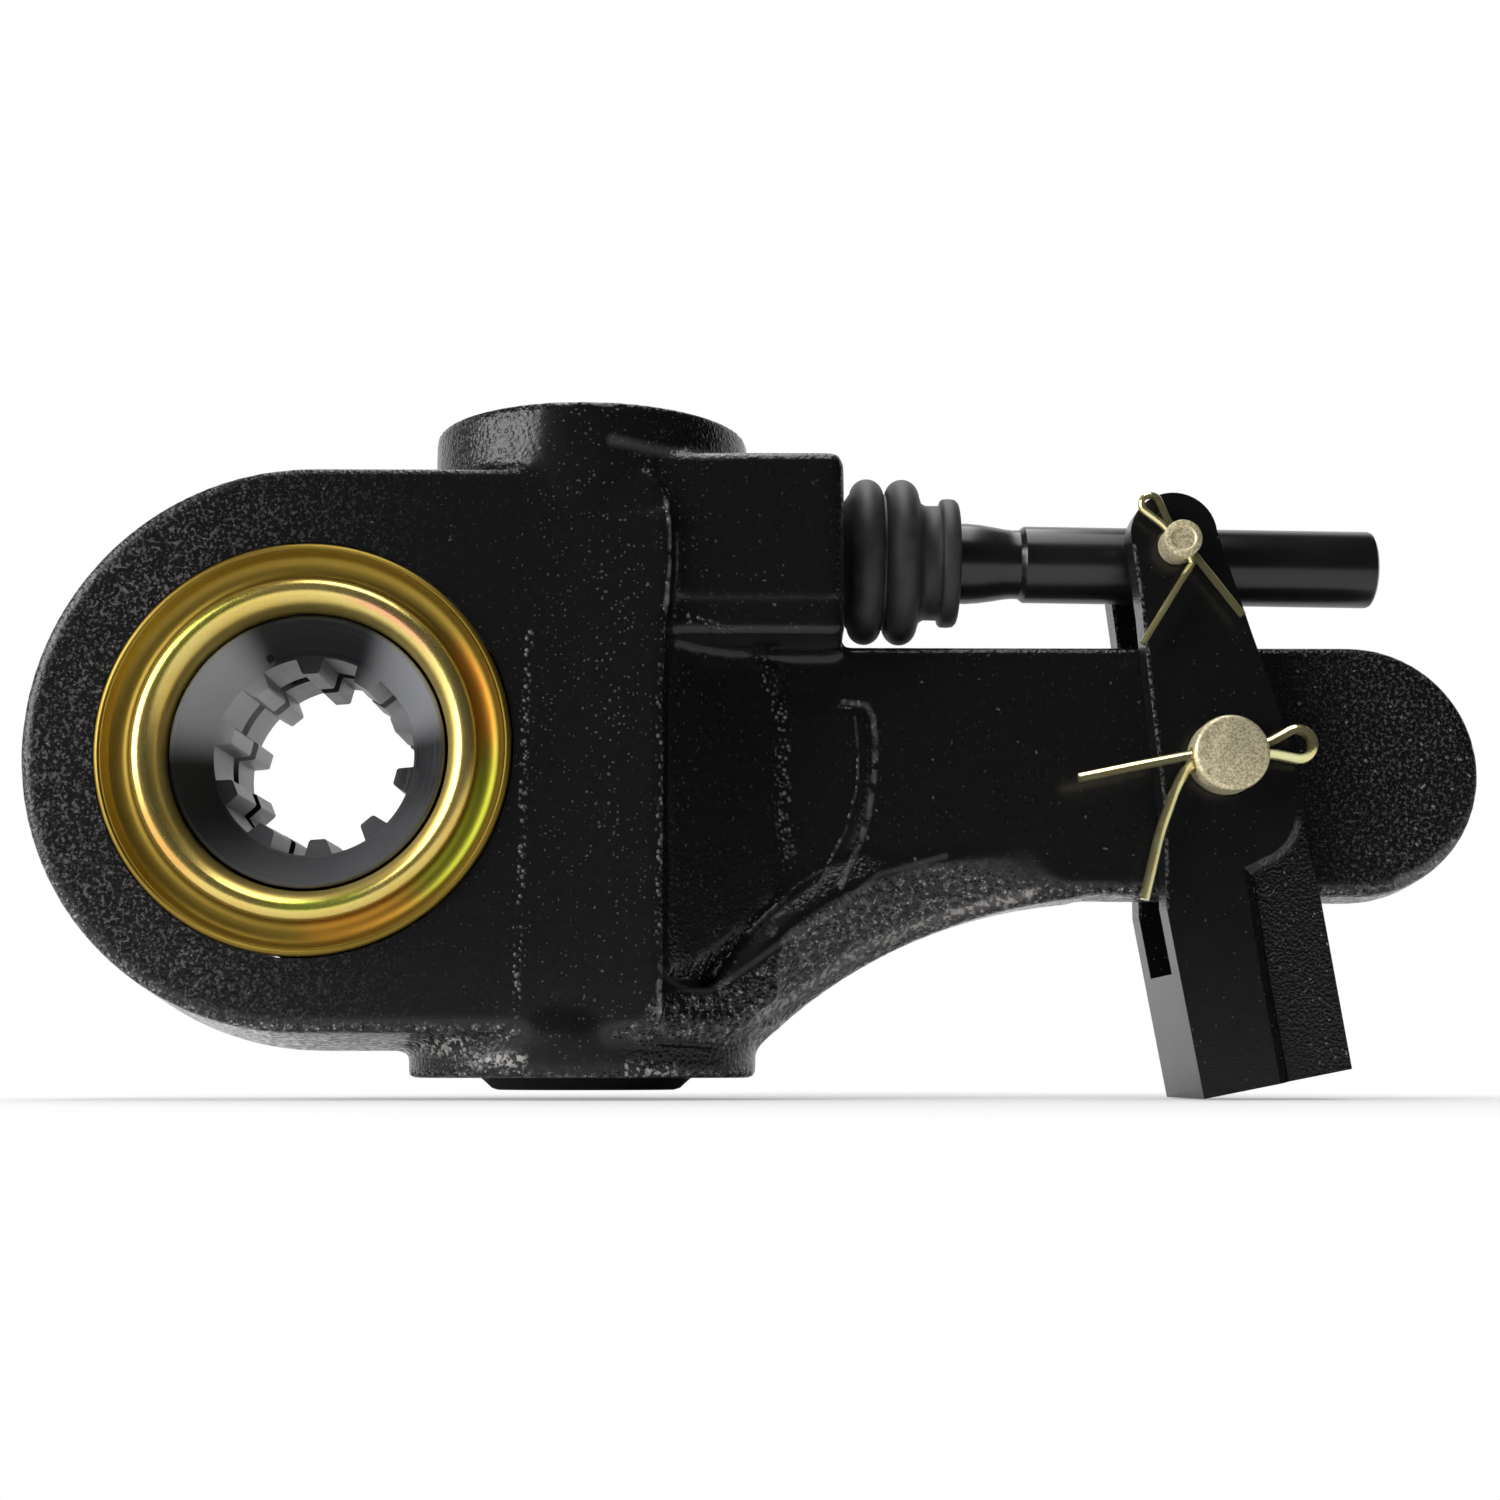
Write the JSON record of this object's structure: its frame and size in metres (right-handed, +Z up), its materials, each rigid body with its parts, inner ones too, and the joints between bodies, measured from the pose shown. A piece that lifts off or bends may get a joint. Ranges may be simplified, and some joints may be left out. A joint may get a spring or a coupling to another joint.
{
  "type": "brake slack adjuster",
  "caption": "Automatic brake slack adjuster: cast housing with arm, splined worm wheel, rack-driven worm, and a clevis with its link rod and boot.",
  "frame": {"origin": "centre of the camshaft spline, halfway between the two side faces", "axes": "+X along the arm from the spline to the large clevis pin, +Y along the spline from the front face to the rear face, +Z up along the worm"},
  "size_m": [0.2468, 0.066, 0.1148],
  "materials": {
    "black_painted_iron": "black paint over rough cast iron",
    "black_clevis_iron": "black paint over forged steel",
    "black_oxide_steel": "black oxide on turned steel",
    "bright_steel": "machined steel, lightly oiled",
    "spring_steel": "spring steel, as drawn",
    "yellow_zinc_steel": "yellow chromated zinc plating, bright",
    "pale_zinc_steel": "pale yellow zinc plating, grainy",
    "black_rubber": "matte black rubber"
  },
  "bodies": {
    "root": {"housing": "black_painted_iron", "arm_bushing": "bright_steel", "front_cover_ring": "yellow_zinc_steel", "rear_cover_ring": "yellow_zinc_steel", "front_hub_seal": "black_rubber", "rear_hub_seal": "black_rubber", "worm_thrust_washer": "bright_steel", "bottom_plug": "black_oxide_steel", "plug_seal": "black_rubber", "adjuster_spring": "spring_steel", "top_cap": "black_oxide_steel", "cap_retaining_ring": "spring_steel", "grease_fitting": "bright_steel", "relief_plug": "black_rubber", "rod_boot": "black_rubber"},
    "wheel": {"worm_wheel": "black_oxide_steel"},
    "worm": {"worm_shaft": "bright_steel", "clutch_hub": "bright_steel", "clutch_spring": "spring_steel"},
    "pinion": {"drive_pinion": "bright_steel"},
    "rack": {"rack": "bright_steel", "rack_pin": "bright_steel"},
    "link": {"link_rod": "black_oxide_steel"},
    "clevis": {"clevis": "black_clevis_iron", "large_clevis_pin": "pale_zinc_steel", "small_clevis_pin": "pale_zinc_steel", "large_cotter_pin": "yellow_zinc_steel", "small_cotter_pin": "yellow_zinc_steel"}
  },
  "joints": [
    {"name": "worm_turn", "type": "hinge", "parent": "root", "child": "worm", "pos_m": [0.045, 0, 0], "axis": [0, 0, 1], "continuous": true},
    {"name": "wheel_turn", "type": "hinge", "parent": "root", "child": "wheel", "pos_m": [0, 0, 0], "axis": [0, 1, 0], "continuous": true},
    {"name": "clevis_swing", "type": "hinge", "parent": "root", "child": "clevis", "pos_m": [0.1524, 0, 0], "axis": [0, 1, 0], "range_deg": [-8, 20]},
    {"name": "rack_slide", "type": "slide", "parent": "root", "child": "rack", "axis": [1, 0, 0], "range_m": [-0.0052, 0.0128], "deforming": ["rod_boot"]},
    {"name": "rod_pitch", "type": "hinge", "parent": "rack", "child": "link", "pos_m": [0.068, 0, 0.03729], "axis": [0, 1, 0], "range_deg": [-0.9, 0.4]},
    {"name": "pinion_turn", "type": "hinge", "parent": "root", "child": "pinion", "pos_m": [0.045, 0, 0.03761], "axis": [0, 0, 1], "range_deg": [-81, 33]}
  ],
  "couplings": [
    {"joint": "wheel_turn", "follows": "worm_turn", "ratio": 0.05},
    {"joint": "rack_slide", "follows": "clevis_swing", "m_per_rad": 0.0362},
    {"joint": "rod_pitch", "follows": "clevis_swing", "ratio": -0.042},
    {"joint": "pinion_turn", "follows": "clevis_swing", "ratio": -4.0222}
  ]
}
